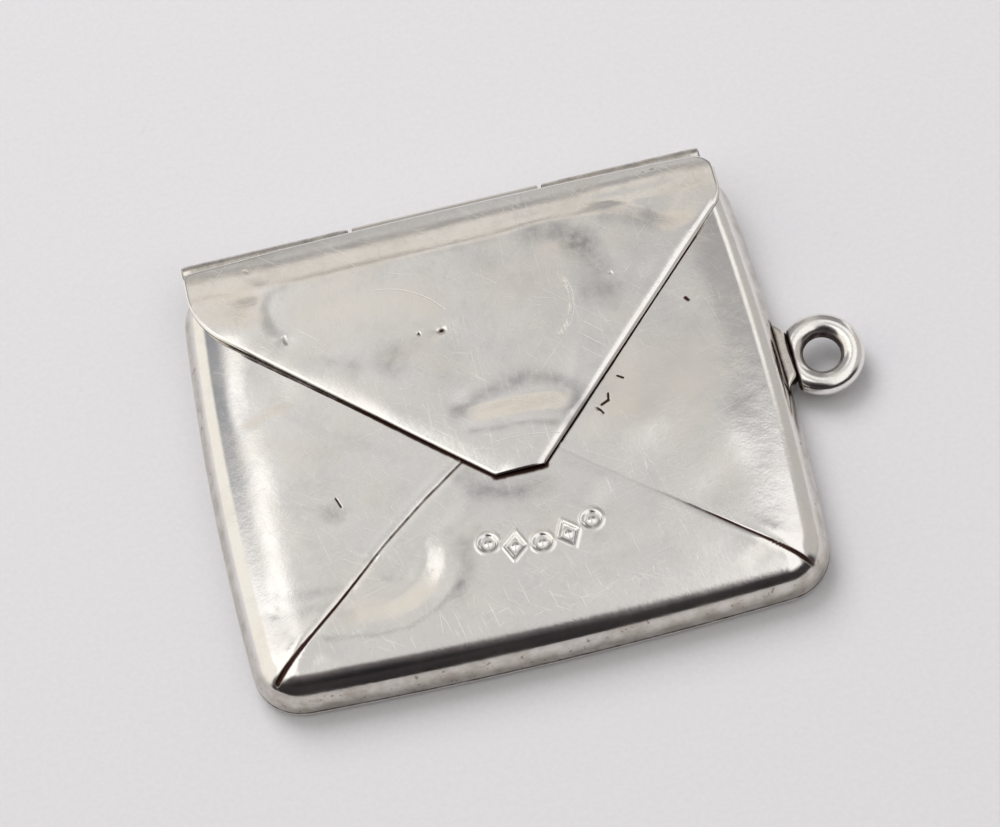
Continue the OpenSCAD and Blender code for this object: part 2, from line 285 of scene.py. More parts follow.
# Plain punched shapes in a short curved row, where the photo has struck marks:
# centre, turn in degrees, and 1 for a lozenge or 0 for a circle
PUNCHES = []
for _i in range(5):
    _a = math.radians(-90 + 13 * (_i - 2))
    PUNCHES.append((*polar(_a, 5.6, 0.75, -1.25), math.degrees(_a) + 90, _i % 2))


def punches(x, y):
    total = 0
    for cx, cy, turn, lozenge in PUNCHES:
        u, v = turned_to(x, y, cx, cy, turn)
        r = np.abs(u) * 0.95 + np.abs(v) * 0.72 if lozenge else np.hypot(u, v)
        size = 0.44 if lozenge else 0.4
        total = total - 0.07 * smooth((size + 0.06 - r) / 0.12) + 0.02 * bell(r - size - 0.13, 0.08) \
            + 0.045 * rise(r, 0.2, -0.14)
    return total


def seam_profile(x, y, points, lip, fade):
    """Pressed line between two leaves, with a raised lip on both sides."""
    d, along, length = nearest(x, y, points)
    ends = smooth(along / 0.5) * smooth((length - along) / 0.8) * (1 - fade * rise(along, 4, 5))
    deep = 1 - 0.5 * rise(along, 1.5, 4)
    return ends * (-0.045 * deep * bell(d, 0.06) - 0.01 * bell(d, 0.28)
                   + lip * bell(d - 0.3, 0.16) + 0.5 * lip * bell(d + 0.34, 0.2))


def front_relief(x, y):
    """How far the front stands proud of its plain form."""
    inner = smooth((inset_of(x, y) - 0.9) / 1.6)
    flat = 0.014 * unevenness(11, 14, 3, 8)(x, y) + dents(x, y, FRONT_DENTS) + folds(x, y, FRONT_FOLDS)
    return (inner * flat + nicks(x, y, FRONT_NICKS) + punches(x, y)
            + seam_profile(x, y, SEAM_L, 0.013, 0.2) + seam_profile(x, y, SEAM_R, 0.006, 0.75))


def seam_dark(x, y):
    out = 0
    for points, width, fade in ((SEAM_L, 0.085, 0.3), (SEAM_R, 0.07, 0.7)):
        d, along, _ = nearest(x, y, points)
        wide = width * (1 + 1.1 * rise(along, 3.4, -2.8))
        out = np.maximum(out, bell(d, wide, 3) * smooth(along / 0.3) * (1 - fade * rise(along, 4, 5)))
    return out


# Mesh building
def place(name, data):
    obj = bpy.data.objects.new(name, data)
    scene.collection.objects.link(obj)
    return obj


def new_object(name, verts, faces, dark, sharp, haze_and_painted_reflection=0.0):
    """Smooth mesh with its darkness, from tarnish and painted shade, and its haze and painted reflection as
    point values.
    """
    mesh = bpy.data.meshes.new(name)
    mesh.from_pydata([tuple(v) for v in np.asarray(verts) * MM], [], faces)
    mesh.validate()
    mesh.polygons.foreach_set("use_smooth", [True] * len(mesh.polygons))
    for key, values, low in (("dark", dark, 0), ("haze_and_painted_reflection", haze_and_painted_reflection, -1)):
        values = np.clip(values, low, 1) + np.zeros(len(mesh.vertices))
        mesh.attributes.new(key, "FLOAT", "POINT").data.foreach_set("value", values)
    mesh.set_sharp_from_angle(angle=math.radians(sharp))
    mesh.update()
    return place(name, mesh)


def vertex_normals(verts, faces):
    normals = np.zeros_like(verts)
    for size in (3, 4):
        group = np.array([f for f in faces if len(f) == size])
        a, b, c = (verts[group[:, k]] for k in range(3))
        n = np.cross(b - a, c - a) if size == 3 else np.cross(c - a, verts[group[:, 3]] - b)
        for k in range(size):
            np.add.at(normals, group[:, k], n)
    return normals / np.maximum(np.linalg.norm(normals, axis=1), 1e-12)[:, None]


def thicken(verts, faces, thickness):
    """Closes a sheet with a second face below the first and walls round its free edges."""
    n = len(verts)
    low = verts - vertex_normals(verts, faces) * thickness
    edges = dict.fromkeys(e for f in faces for e in zip(f, f[1:] + f[:1]))
    walls = [(b, a, a + n, b + n) for a, b in edges if (b, a) not in edges]
    return np.vstack([verts, low]), faces + [tuple(i + n for i in reversed(f)) for f in faces] + walls


def quads(rows, columns, ring_rows=False, ring_columns=True, flip=False):
    """Faces between the neighbours in a grid of points, numbered row by row."""
    faces = []
    for r in range(rows if ring_rows else rows - 1):
        here, there = r * columns, (r + 1) % rows * columns
        for c in range(columns if ring_columns else columns - 1):
            c2 = (c + 1) % columns
            face = (here + c, there + c, there + c2, here + c2)
            faces.append(face[:1] + face[:0:-1] if flip else face)
    return faces


def even_steps(points, step):
    """Points at even steps along a polyline, without its last."""
    out = []
    for (ax, ay), (bx, by) in zip(points[:-1], points[1:]):
        m = max(1, round(math.hypot(bx - ax, by - ay) / step))
        out += [(ax + (bx - ax) * t / m, ay + (by - ay) * t / m) for t in range(m)]
    return out


def along_line(points, offsets, step):
    """Rows of points beside a polyline, at each offset to its left."""
    out = []
    for (ax, ay), (bx, by) in zip(points[:-1], points[1:]):
        run = math.hypot(bx - ax, by - ay)
        n = max(1, round(run / step))
        out += [(ax + (bx - ax) * t - (by - ay) / run * o, ay + (by - ay) * t + (bx - ax) / run * o)
                for t in np.arange(n) / n for o in offsets]
    return np.array(out)


def hex_points(x0, x1, y0, y1, step):
    rows, y = [], y0
    while y < y1:
        xs = np.arange(x0 + (step / 2 if len(rows) % 2 else 0), x1, step)
        rows.append(np.column_stack([xs, np.full_like(xs, y)]))
        y += step * 0.866
    return np.vstack(rows)


def patches(centres, half_x, half_y, step):
    return np.vstack([hex_points(x - half_x, x + half_x, y - half_y, y + half_y, step) for x, y in centres])


def apart_from(points, others, distance):
    tree = KDTree(len(others))
    for i, p in enumerate(others):
        tree.insert((*p, 0), i)
    tree.balance()
    return points[np.array([tree.find((*p, 0))[2] > distance for p in points])]


def far_from(points, lines, distance):
    for line in lines:
        points = points[np.abs(nearest(*points.T, line)[0]) > distance]
    return points


def inside_loop(x, y, loop):
    inside = np.zeros(len(x), bool)
    for (ax, ay), (bx, by) in zip(loop, np.roll(loop, -1, axis=0)):
        if ay != by:
            inside ^= ((ay > y) != (by > y)) & (x < (bx - ax) * (y - ay) / (by - ay) + ax)
    return inside


def triangulate(points, edges):
    coords = [Vector(p) for p in points]
    _, _, faces, origin, _, _ = delaunay_2d_cdt(coords, edges, [], 1, 1e-6)
    return np.array([tuple(c) for c in coords]), [tuple(origin[i][0] for i in f) for f in faces]


def fill_loop(loop, points, margin):
    """Triangles that fill a closed loop, with points inside it; the loop's points come first."""
    loop = np.asarray(loop)
    points = points[inside_loop(*points.T, loop)]
    points = points[np.abs(nearest(*points.T, np.vstack([loop, loop[:1]]))[0]) > margin]
    n = len(loop)
    return triangulate(np.vstack([loop, points]), [(i, (i + 1) % n) for i in range(n)])


def renumbered(tris, ring, first):
    """Faces whose first points are a ring of the mesh, and whose others follow on from a number."""
    n = len(ring)
    return [tuple(ring[i] if i < n else first + i - n for i in f) for f in tris]


def mouth_x(tip, shoulder, y):
    return tip[0] + (y - tip[1] - MOUTH_LAP) * (shoulder[0] - tip[0]) / (shoulder[1] - tip[1])


# Where the flap's edges lie over the front: points, width of the painted shadow beside them,
# how much it narrows upwards, and over what length it fades at the end
EDGE_L, EDGE_R = [TIP_L, (-10.95, 6.25), (-11.7, 7.05)], [TIP_R, (11.9, 7.55)]
FLAP_EDGE_PAINTED_SHADOWS = [(EDGE_L, 0.17, 0.6, 1.5), ([TIP_L, TIP_R], 0.24, 0.0, 0.0), (EDGE_R, 0.11, 0.3, 1.0)]
# Columns and rows of the close mesh beside seams, flap edges and nicks
SEAM_ROWS = [0.045, 0.085, 0.13, 0.19, 0.26, 0.36, 0.5]
EDGE_ROWS = np.array([-0.05, 0.04, 0.1, 0.16, 0.22, 0.28, 0.36])
FRONT_SPOTS = [(-8.15, -2.65), (5.3, -0.5), (6.2, 0.6), (10.2, 3.8)]
# Last insets of the swept edge, beyond the round
TAIL_INSETS = [1.37, 1.46, 1.56, 1.67, 1.79, 1.92, 2.05]


def build_front_shell():
    base, out = outline_columns(0.22, 0.07)
    n, (x, y) = len(base), base.T
    # The columns run from the left end of the mouth, round the bottom, to its right end
    start = int(np.argmin(np.hypot(x + MOUTH_X, y - MOUTH_Y) + 100 * (x > 0)))
    base, out = np.roll(base, -start, axis=0), np.roll(out, -start, axis=0)
    x, y = base.T
    end = int(np.argmin(np.hypot(x - MOUTH_X, y - MOUTH_Y)))
    base[0] = SIDE_C - math.sqrt(SIDE_R ** 2 - MOUTH_Y ** 2), MOUTH_Y
    base[end] = -x[0], MOUTH_Y
    # The top wall steps down to its hinge seats, and the walls stand higher beside the mouth's ends
    x = np.abs(x)
    seat = np.where(x < MIDDLE_HALF + 0.15, SEAT_MIDDLE_Z, np.where(x < SEATS_HALF, SEAT_OUTER_Z, MOUTH_Z))
    rim = np.where(y > 11.2, seat, MOUTH_Z)
    beside = rise(y, 6.5, 1.5) * rise(y, 10.7, -0.9) * (x > 12)
    rim = np.where(beside > 0, np.minimum(rim + 0.72 * beside, WALL_Z + ROUND_TOP - 0.12), rim)
    low_rows, upper_rows = ((20, 28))
    rows = low_rows + upper_rows + len(TAIL_INSETS)
    verts, starts, faces = [], [], []
    for i in range(n):
        column = [BACK_T + (rim[i] - BACK_T) * j / low_rows for j in range(low_rows + 1)]
        column = [(roll_inset(z) if z > WALL_Z else 0.0, z) for z in column]
        column[0] = 0.03, BACK_T
        if i <= end:
            steep = np.interp(roll_inset(rim[i]), ROLL_D, ROLL_T)
            upper = ROLL_R * (1 - np.sin(np.linspace(steep, TAIL_A, upper_rows)[1:]))
            column += [(d, roll_height(d)) for d in [*upper, *TAIL_INSETS]]
        starts.append(len(verts))
        verts += [(*(base[i] - out[i] * d), z) for d, z in column]
    for i in range(n):
        a, b = starts[i], starts[(i + 1) % n]
        faces += [(a + j, b + j, b + j + 1, a + j + 1) for j in range(rows - 1 if i < end else low_rows)]
    # Fill the front between the rolled edge and the mouth
    ring = [start + rows - 1 for start in starts[:end + 1]]
    loop = [verts[i][:2] for i in ring]
    mouth = [(mouth_x(TIP_R, SHOULDER_R, MOUTH_Y), MOUTH_Y), (TIP_R[0], TIP_R[1] + MOUTH_LAP),
             (TIP_L[0], TIP_L[1] + MOUTH_LAP), (mouth_x(TIP_L, SHOULDER_L, MOUTH_Y), MOUTH_Y)]
    edge = even_steps([loop[-1]] + mouth + [loop[0]], 0.25)[1:]
    step = 0.2
    seams = [SEAM_L, SEAM_R]
    offsets = [-o for o in SEAM_ROWS[::-1]] + [0] + SEAM_ROWS
    beside = np.vstack([along_line(EDGE_L, EDGE_ROWS, 0.12), along_line([TIP_L, TIP_R], -1.3 * EDGE_ROWS, 0.12),
                        along_line(EDGE_R, -EDGE_ROWS, 0.12)])
    points = np.vstack([far_from(hex_points(-3.2, 4.6, -8.1, -4.6, 0.07), seams, 0.58),
                        far_from(patches(FRONT_SPOTS, 0.5, 0.6, 0.06), seams, 0.1),
                        *[along_line(line[1:], offsets, 0.16) for line in seams],
                        far_from(beside, seams, 0.25)])
    coarse = apart_from(far_from(hex_points(-13, 13, -11, 9, step), seams, 0.58), points, step * 0.7)
    points = np.vstack([points, coarse])
    # Only the first of any points that share a small cell stays
    _, first = np.unique(np.round(points / 0.028).astype(int), axis=0, return_index=True)
    coords, tris = fill_loop(loop + edge, points[np.sort(first)], 0.05)
    faces += renumbered(tris, ring, len(verts))
    x, y = coords[len(ring):].T
    verts = np.vstack([verts, np.column_stack([x, y, roll_height(inset_of(x, y))])])
    # Relief, laid on along the surface's own direction
    x, y, z = verts.T
    normals = vertex_normals(verts, faces)
    wall = 0.012 * unevenness(5, 8, 1.5, 6)(x + z, y - z)
    relief = front_relief(x, y) * rise(z, 1.2, 0.6) \
        + wall * rise(z, 1.6, -0.5) * rise(z, 0.5, 0.3) - 0.004
    # Tarnish in the seams, at the back, around the ring's plate, in nicks and punches; painted shadow beside the
    # flap
    shades = [seam_dark(x, y) * rise(z, 1.6, 0.4), 0.45 * rise(z, 0.54, -0.1)]
    # Painted shadow on the front beside the flap's edges
    for line, width, narrow, fade in FLAP_EDGE_PAINTED_SHADOWS:
        d, along, length = nearest(x, y, line)
        wide = width * (1 - narrow * rise(along, 2, 8))
        if fade:
            wide = np.maximum(wide * smooth((length - along) / fade), 1e-3)
        shades.append(0.95 * bell(d, wide, 3) * rise(z, 2.0, 0.5))
    side, up = np.maximum(np.abs(y - 0.35) - 1.85, 0), np.maximum(np.abs(z - RING_Z) - 0.5, 0)
    shades.append(0.9 * bell(np.hypot(side, up), 0.1) * (x > 13))
    shades += [nick_bell(x, y, nick, 1.4) * (z > 2) for nick in FRONT_NICKS]
    shades += [0.45 * bell(np.hypot(x - cx, y - cy) - 0.33, 0.09) * (z > 2) for cx, cy, _, _ in PUNCHES]
    # Haze and painted dark reflection, less painted warm reflection, on the front's top
    haze_and_painted_reflection = (soft_patches(x, y, FRONT_HAZE_AND_PAINTED_REFLECTIONS) - soft_patches(x, y, FRONT_PAINTED_WARM_REFLECTIONS)) * rise(z, 2.2, 0.4)
    inner = np.full(len(x), 0.35)
    verts, faces = thicken(verts + normals * relief[:, None], faces, SHEET)
    return new_object("front_shell_sheet", verts, faces, np.append(np.maximum.reduce(shades), inner), 50,
                      np.append(haze_and_painted_reflection, 0 * inner))


def build_back_plate():
    base, out = outline_columns(0.3, 0.1)
    n = len(base)
    rows = [(0.06, BACK_T), (0.02, BACK_T - 0.01), (0.0, BACK_T - 0.04)]
    rows += [(0.3 * (1 - math.cos(a)), 0.3 * (1 - math.sin(a))) for a in np.radians(np.linspace(0, 84, 9))]
    rows += [(0.36, 0.0)]
    verts = [(*p, z) for d, z in rows for p in base - out * d]
    faces = quads(len(rows), n)
    wave = unevenness(21, 10, 4, 11)
    step = 0.45
    grid = hex_points(-14, 14, -12, 12, step)
    for first, up in ((0, True), ((len(rows) - 1) * n, False)):
        coords, tris = fill_loop([v[:2] for v in verts[first:first + n]], grid, step * 0.5)
        tris = renumbered(tris, range(first, first + n), len(verts))
        faces += tris if up else [f[::-1] for f in tris]
        x, y = coords[n:].T
        d = inset_of(x, y)
        h = 0.006 * wave(x, y) * np.minimum(1, d / 2)
        verts += zip(x, y, BACK_T + h if up else np.maximum(0, 0.006 + 0.5 * h) * np.minimum(1, d / 1.5))
    x, y, z = np.array(verts).T
    dark = np.where(z > 0.4, 0.5 * bell(inset_of(x, y), 0.5) + 0.2, 0.0)
    return new_object("back_plate_sheet", verts, faces, dark, 40)


def unit(v):
    return v / np.linalg.norm(v, axis=-1, keepdims=True)


def rounded(a, p, b, r, steps):
    """Points of the round of a corner p between two others."""
    a, p, b = map(np.array, (a, p, b))
    u, v = unit(a - p), unit(b - p)
    half = math.acos(np.clip(u @ v, -1, 1)) / 2
    centre = p + unit(u + v) * r / math.sin(half)
    start, end = (p + w * r / math.tan(half) - centre for w in (u, v))
    a0 = math.atan2(start[1], start[0])
    turn = (math.atan2(end[1], end[0]) - a0 + math.pi) % (2 * math.pi) - math.pi
    return [polar(a0 + turn * i / steps, r, *centre) for i in range(steps + 1)]


# Bend of the flap towards its hinge: smoothed slope against y, and the drop that it adds up to
BEND_Y = np.linspace(-4, 11.7, 800)
BEND_A = np.interp(BEND_Y, [-4, 9.45, 9.6, 10.3, 10.65, 10.95, 11.1, 11.3, 11.7],
                   [0, 0, 3.2, 3.0, 5.8, 7.0, 8.6, 9.4, 10.5])
_kernel = np.hanning(13) / np.hanning(13).sum()
BEND_A = np.radians(np.convolve(np.pad(BEND_A, 6, mode="edge"), _kernel, mode="valid"))
BEND_DROP = np.append(0, np.cumsum(np.tan((BEND_A[1:] + BEND_A[:-1]) / 2) * np.diff(BEND_Y)))


def bend_drop(x, y):
    """Drop of the flap towards its hinge, which starts lower down at the hinge's two ends."""
    left = 0.12 * smooth((-x - 8.6) / 2.2) * rise(y, 6.4, 3.8)
    right = 0.05 * rise(x, 8.2, 3.5) * rise(y, 7.2, 3.2)
    return np.interp(y, BEND_Y, BEND_DROP) + (left + right) * (1 - 0.6 * rise(y, 9.0, 2.6))


FLAP_DENTS = [
    (-8.95, 6.4, 0.5, 0.4, 0, -0.025), (-6.9, 7.5, 1.6, 1.2, -8, -0.02), (-10.9, 7.2, 1.1, 1.4, -40, 0.03),
    (-7.6, 5, 1.1, 0.5, -20, -0.022), (-3.5, 4.7, 1.1, 0.7, 10, -0.03), (-1.7, 5.05, 0.6, 0.4, 10, -0.02),
    (-0.9, 5.7, 1.8, 0.7, -5, 0.018), (-3.6, 3.1, 1.6, 0.9, -30, 0.016), (2.2, 8, 1.6, 0.8, 0, -0.02),
    (4.9, 8.6, 1.5, 0.8, -10, -0.035), (7.6, 7.3, 0.8, 1.6, 25, 0.025), (6.7, 5.6, 0.6, 1.4, 25, -0.035),
    (3.2, 4.4, 1.4, 1.8, 0, 0.02), (10.9, 8.4, 1.1, 0.7, 10, -0.03), (-5.6, 8.6, 2, 0.5, 2, 0.01),
    (-5.2, 1.8, 1.2, 0.5, -45, 0.014), (9, 5.4, 1.2, 0.6, 45, -0.02),
]
# Edge of the worn middle of the flap, its lobe on the right, and a dent near the tip
FLAP_FOLDS = [
    (0.05, 0.6, 3, 1.6, -8.6, 6, -9, 6.5, -9.3, 7.3, -9.35, 8.2, -9.1, 9, -8.6, 9.5),
    (-0.018, 0.3, 1.5, 1.6, -9.4, 9.3, -3.4, 9.35, 1.8, 9.3, 4.3, 9.5, 7.6, 9.2),
    (-0.05, 0.9, 3, 2.2, 5.6, 9.5, 7.6, 9.1, 9, 8.4, 10, 7.6, 10.9, 7.1),
    (-0.09, 1.3, 2.5, 1.8, -2.4, -0.4, -0.6, -0.4, 0.8, -0.4, 2.4, -0.55, 3.3, -0.9, 4, -1.5),
]
# Grey patches of haze and painted dark reflection, then warm patches of painted reflection on the flap: width
# and strength, then the points of their line
FLAP_HAZE_AND_PAINTED_REFLECTIONS = [
    (0.42, 0.5, -8.4, 9.3, -9.2, 9, -9.6, 8.4, -9.5, 7.6, -9.1, 6.8, -8.9, 6.4), (0.22, 0.22, -8, 9.25, 2, 9.25),
    (1, 0.5, 3.8, 9.3, 5.2, 8.9, 6, 8), (0.8, 0.45, 5.9, 8, 6.6, 6.6, 7.2, 5.2, 5.8, 5.2),
    (0.5, 0.42, 7.4, 9.1, 8.6, 8.6, 9.7, 7.9), (0.9, 0.4, -4.3, 4, -3.1, 4.7),
    (0.5, 0.34, -8, 5.6, -7.2, 4.8, -6, 4.3), (0.28, 0.3, -1.9, 5, -1.4, 4.9), (1.4, 0.2, 0, 8.4, 3, 7.2),
    (0.7, 0.25, -6, 3.6, -4.2, 3.3),
    (0.6, 0.5, -1.9, 0.6, -0.6, 0.9, 0.6, 1.3, 1.9, 1.5, 3.1, 1.1, 4, 0.3, 3.9, -0.5, 3.3, -1.2),
    (0.2, 0.45, -1.3, -0.6, 0.2, -0.75, 1.4, -0.8, 2.6, -1.15), (0.5, 0.15, 9.4, 5.8, 11.4, 8),
    (0.9, 0.14, 1.6, 2.4, 4.4, 3.6),
]
FLAP_PAINTED_WARM_REFLECTIONS = [
    (1.5, 0.7, -7.6, 7.6, -5, 7.4, -2, 7), (0.6, 0.55, -0.6, 0.15, 2.2, 0.2),
    (0.6, 0.5, -12.4, 9.9, -10.4, 9.4, -10.6, 8.4), (0.25, 0.4, -9.2, 9.65, 8, 9.75),
    (0.5, 0.8, 10.4, 8.2, 11.3, 8), (0.4, 0.5, -8.3, 5.6, -7.8, 5.5), (0.5, 0.4, -5.4, 3.2, -2.6, 0.6),
    (0.25, 0.6, 4.6, 6.4, 4.85, 5.3, 4.1, 3.6),
]
FLAP_NICKS = [
    (-2.63, 5.14, -2.6, 5.04, 0.06, 0.035), (-1.56, 4.98, -1.5, 4.99, 0.13, 0.045),
    (-1.25, 5.1, -0.6, 5.25, 0.07, -0.016), (-8.95, 6.6, -8.9, 6.2, 0.055, 0.025),
    (-10.15, 10.7, -10.05, 10.6, 0.06, 0.015), (9.7, 11, 9.85, 11.05, 0.05, 0.012),
    (10.2, 11.1, 10.3, 11.1, 0.05, 0.012), (6.95, 6, 7, 5.9, 0.06, 0.02),
]
FLAP_SPOTS = [(-2.5, 5.1), (-1.2, 5.1), (-8.9, 6.4), (-10.1, 10.6), (9.95, 11.0), (7.0, 6.0)]


def flap_relief(x, y):
    soft = dents(x, y, FLAP_DENTS) + folds(x, y, FLAP_FOLDS) + 0.013 * unevenness(31, 16, 2.5, 7)(x, y)
    return (soft + nicks(x, y, FLAP_NICKS)) * (1 - rise(y, 9.8, 1.2) * 0.7)


def flap_outline():
    """The flap's edge at even steps, anticlockwise from the left end of its tip."""
    bow_r = (FLAP_HALF ** 2 + FLAP_BOW ** 2) / (2 * FLAP_BOW)
    right_end, left_end = (FLAP_HALF, FLAP_END_Y - FLAP_BOW), (-FLAP_HALF, FLAP_END_Y - FLAP_BOW)
    xs = [FLAP_HALF - 1.0 - (2 * FLAP_HALF - 1.4) * i / 90 for i in range(1, 90)]
    out = [TIP_L, TIP_R] + rounded(TIP_R, SHOULDER_R, right_end, 1.6, 16)
    out += rounded(SHOULDER_R, right_end, left_end, 1.0, 12)
    out += [(x, FLAP_END_Y - bow_r + math.sqrt(bow_r ** 2 - x * x)) for x in xs]
    out += rounded(right_end, left_end, SHOULDER_L, 0.4, 8) + rounded(left_end, SHOULDER_L, TIP_L, 3.9, 24)
    points = np.array(out)
    points = points[np.append(True, np.hypot(*np.diff(points, axis=0).T) > 1e-4)]
    return np.array(even_steps(np.vstack([points, points[:1]]), 0.2))


def inward(loop):
    """Inward mitre directions of an anticlockwise loop."""
    before, after = unit(loop - np.roll(loop, 1, axis=0)), unit(np.roll(loop, -1, axis=0) - loop)
    n1, n2 = (np.column_stack([-d[:, 1], d[:, 0]]) for d in (before, after))
    m = unit(n1 + n2)
    return m / np.maximum((m * n1).sum(axis=1), 0.5)[:, None]


def flap_top(points, inset):
    """Top face of the flap: its left edge has a broad soft bevel, its right edge a narrow one."""
    x, y = points.T
    left = nearest(x, y, [TIP_L, (SHOULDER_L[0] + 1.2, SHOULDER_L[1] - 1.6)])[0]
    right = np.abs(nearest(x, y, [TIP_R, (SHOULDER_R[0] - 0.5, SHOULDER_R[1] - 0.5)])[0])
    low = rise(y, 6, -7)
    z = FLAP_TOP - bend_drop(x, y) + flap_relief(x, y) \
        - (0.1 + 0.07 * low) * bell(left, 0.65 + 0.5 * low, 1.2) - 0.03 * np.exp(-right / 0.28) \
        - 0.06 * max(1 - inset / 0.12, 0) ** 1.7 - 0.045 * np.maximum(1 - right / 0.32, 0) ** 1.5
    return np.column_stack([points, z])


def build_flap():
    loop = flap_outline()
    mitre, n = inward(loop), len(loop)
    insets = (0.0, 0.015, 0.04, 0.075, 0.12, 0.17, 0.24, 0.34)
    rings = [flap_top(loop + mitre * d, d) for d in insets]
    near = patches(FLAP_SPOTS, 0.6, 0.45, 0.07)
    step = 0.17
    coarse = apart_from(hex_points(-13, 13, -3, 11.6, step), near, step * 0.6)
    coords, tris = fill_loop(rings[-1][:, :2], np.vstack([near, coarse]), 0.07)
    first = (len(insets) - 1) * n
    faces = quads(len(insets), n, flip=True) + renumbered(tris, range(first, first + n), first + n)
    top = np.vstack(rings + [flap_top(coords[n:], 9.0)])
    # Underside: the same plan, one sheet lower and without the bevels
    x, y = top.T[:2]
    slant = np.interp(y, BEND_Y, np.cos(BEND_A))
    low_z = FLAP_TOP - bend_drop(x, y) - SHEET / slant + 0.4 * np.maximum(flap_relief(x, y), -0.03)
    low_z[:n] += 0.03
    low = np.column_stack([x, y, low_z])
    verts = np.vstack([top, low, (top[:n] + low[:n]) / 2])
    count = len(top)
    under = [tuple(i + count for i in reversed(f)) for f in faces]
    middle = 2 * count
    for i in range(n):
        i2 = (i + 1) % n
        faces += [(middle + i, middle + i2, i2, i), (count + i, count + i2, middle + i2, middle + i)]
    # Painted shade: the edge wall darkens towards the flap's underside, and the underside is darker too
    dark = np.repeat([0, 0.2, 0.75], [count, count, n])
    dark[count:count + n] = 0.9
    for nick in FLAP_NICKS:
        strength = 0.95 if nick[5] > 0.03 else 0.6 if nick[5] > 0 else 0
        dark[:count] = np.maximum(dark[:count], strength * nick_bell(x, y, nick))
    # Grey painted shade on the underside and edge; haze and painted reflection on the top
    haze_and_painted_reflection = np.full(len(verts), 0.3)
    haze_and_painted_reflection[:count] = soft_patches(x, y, FLAP_HAZE_AND_PAINTED_REFLECTIONS) - soft_patches(x, y, FLAP_PAINTED_WARM_REFLECTIONS)
    return new_object("lid_flap_sheet", verts, faces + under, dark, 46, haze_and_painted_reflection)


def welded(name, verts, faces, dark, sharp):
    """New object whose points are welded where they share a place, without faces that collapse."""
    cells = np.round(verts * 20000).astype(int)
    _, first, same = np.unique(cells, axis=0, return_index=True, return_inverse=True)
    same = same.reshape(-1).tolist()
    faces = [tuple(dict.fromkeys(same[i] for i in f)) for f in faces]
    return new_object(name, verts[first], [f for f in faces if len(f) > 2], dark[first], sharp)


def grid_of(x, y, z):
    """Points of a grid, row by row, from rows and columns of measures."""
    return np.stack(np.broadcast_arrays(x, y, z), axis=-1).reshape(-1, 3)


def angles(count):
    return 2 * math.pi * np.arange(count) / count


def turned(name, profile, sides=48, seam=0.0):
    """A tube or pin along the hinge: a profile of x, radius and darkness turned about the axis."""
    x, r, shade = np.array(profile).T
    a = angles(sides)[:, None]
    uneven = 0.004 * unevenness(3, 6, 1.2, 4)(x, a) - seam * bell(a - 3.9, 0.09)
    r = np.where(r > 0.4, r + uneven, r)
    verts = grid_of(x, HINGE_Y + r * np.cos(a), HINGE_Z + r * np.sin(a))
    return welded(name, verts, quads(sides, len(x), True, False, True), np.tile(shade, sides), 40)


def both_ends(x0, x1, end, middle):
    """Profile with like ends, given as rows of distance from the end, radius and darkness."""
    return [(x0 + d, r, s) for d, r, s in end] + middle + [(x1 - d, r, s) for d, r, s in reversed(end)]


def build_knuckle(name, x0, x1):
    """Outer knuckle: a tube with rounded ends."""
    end = [(0, PIN_R, 1), (0, 0.34, 0.8), (0.01, 0.38, 0.7), (0.04, 0.42, 0.5), (0.1, KNUCKLE_R, 0.3)]
    middle = [(x0 + (x1 - x0) * i / 16, KNUCKLE_R, 0.42) for i in range(1, 16)]
    return turned(name, both_ends(x0, x1, end, middle) + [(x0, PIN_R, 1)], seam=0.02)


def build_pin():
    end = [(0.03 - 0.025 * math.cos(a), PIN_R * math.sin(a), 0.6) for a in np.radians([0, 25, 50, 75])]
    middle = [(x, PIN_R, 0.8) for x in np.linspace(BARREL_L + 0.1, BARREL_R - 0.1, 30)]
    profile = both_ends(BARREL_L, BARREL_R, end + [(0.04, PIN_R, 0.8)], middle)
    return turned("hinge_pin_wire", profile, sides=32)


def build_middle():
    """Middle knuckle: a tube with the leaf that is soldered under the flap."""
    section = [(10.064, 2.857), (10.3, 2.857), (10.564, 2.857)]
    section += [(y, min(2.857, 0.157 + math.sqrt(2.7 ** 2 - (y - 10.564) ** 2)))
                for y in np.linspace(10.7, 11.5, 7)]
    section += [polar(a, KNUCKLE_R, HINGE_Y, HINGE_Z) for a in np.radians(np.linspace(96, -166, 40))]
    section += [(10.9, 2.42), (10.5, 2.52), (10.1, 2.585), (10.064, 2.6)]
    half, m, sides = MIDDLE_HALF, len(section), 24
    x = np.array([-half, -half + 0.02, *np.linspace(-half + 0.06, half - 0.06, 22), half - 0.02, half])[:, None]
    y, z = np.array(section).T
    dy, dz = y - HINGE_Y, z - HINGE_Z
    # The leaf narrows away from the tube, and the ends are a little smaller all round
    leaf, shrink = rise(y, 11.2, -1.1), 0.02 * (np.abs(x) == half)
    verts = list(grid_of(x * (1 - 0.06 * leaf), y - shrink * np.sign(dy) * (np.abs(dy) > 0.1),
                         z - shrink * np.sign(dz) * (z < 2.6)))
    dark = np.where(shrink > 0, 0.7, 0.2 + 0.5 * leaf).ravel()
    faces = quads(len(x), m, flip=True)
    # Ends: an annulus round the bore, and the end of the leaf
    hole = [polar(a, MIDDLE_BORE, HINGE_Y, HINGE_Z) for a in angles(sides)]
    edges = [(j, (j + 1) % m) for j in range(m)] + [(m + j, m + (j + 1) % sides) for j in range(sides)]
    for k in (0, len(x) - 1):
        ring = range(k * m, k * m + m)
        coords, tris = triangulate([verts[i][1:] for i in ring] + hole, edges)
        centres = coords[np.array(tris)].mean(axis=1) - (HINGE_Y, HINGE_Z)
        tris = [t for t, c in zip(tris, centres) if np.hypot(*c) >= 0.98 * MIDDLE_BORE]
        faces += [f if k else f[::-1] for f in renumbered(tris, ring, len(verts))]
        verts += [(x[k, 0] * 0.998, *p) for p in hole]
    faces += [tuple(len(verts) - 2 * sides + i for i in f) for f in quads(2, sides)]
    return new_object("lid_knuckle_leaf", verts, faces, np.append(dark, np.ones(2 * sides)), 40)


